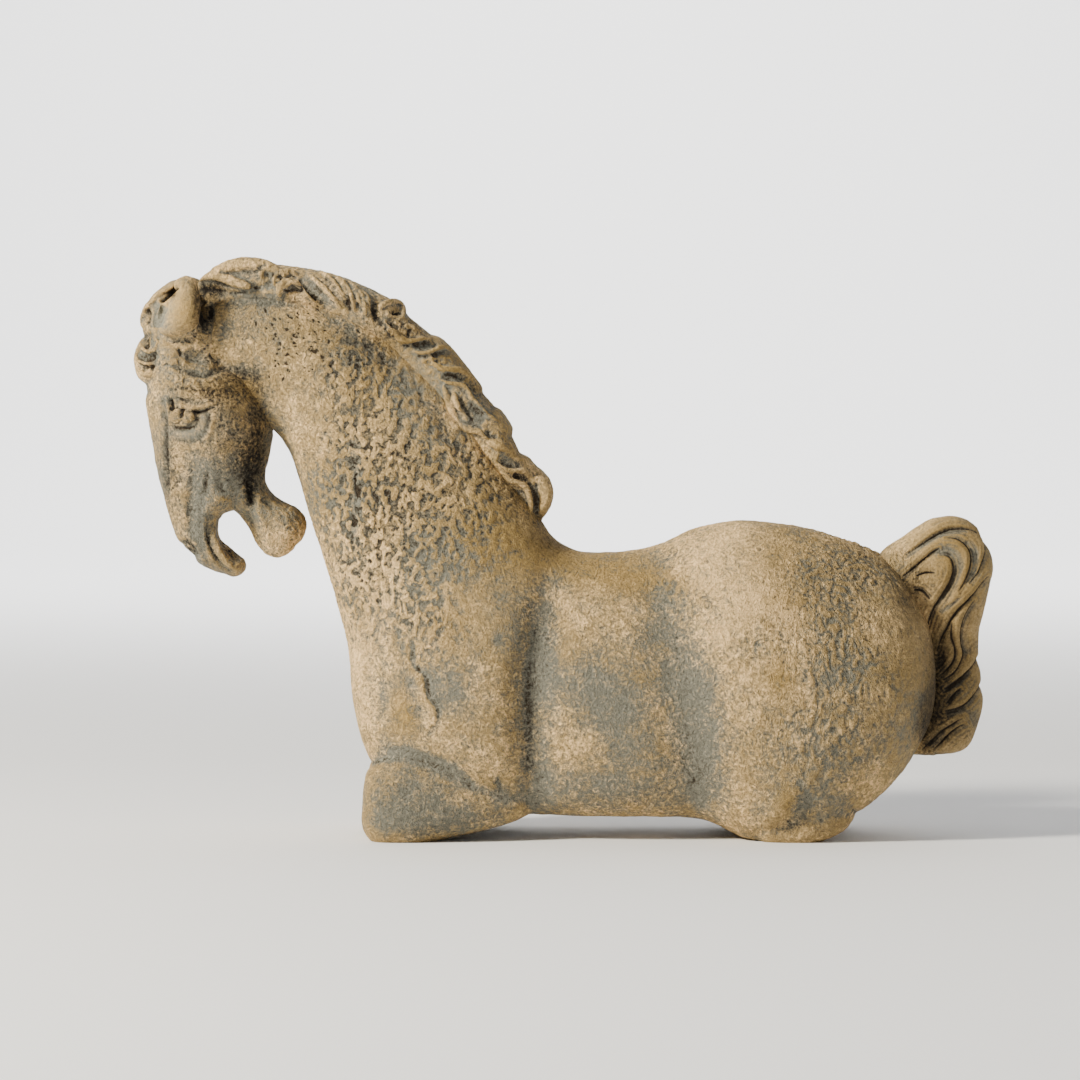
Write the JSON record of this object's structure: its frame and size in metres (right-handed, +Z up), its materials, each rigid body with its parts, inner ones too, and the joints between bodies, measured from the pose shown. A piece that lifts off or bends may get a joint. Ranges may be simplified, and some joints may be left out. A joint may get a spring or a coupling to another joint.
{
  "type": "recumbent horse figure",
  "caption": "Lying horse figure with arched neck, bowed head, open mouth, wavy mane and looped tail, cast hollow in rough tan clay washed with grey; it rests on its folded legs.",
  "frame": {"origin": "centre of the bounding box's bottom face, on the surface that the horse lies on", "axes": "+Z up; the horse faces -X, its left side is -Y and its right side +Y; the long axis is X"},
  "size_m": [0.4978, 0.149, 0.3324],
  "materials": {
    "clay": "matt, unglazed sandy tan clay with a blue-grey wash left in its hollows"
  },
  "bodies": {
    "root": {"horse": "clay"}
  },
  "joints": []
}
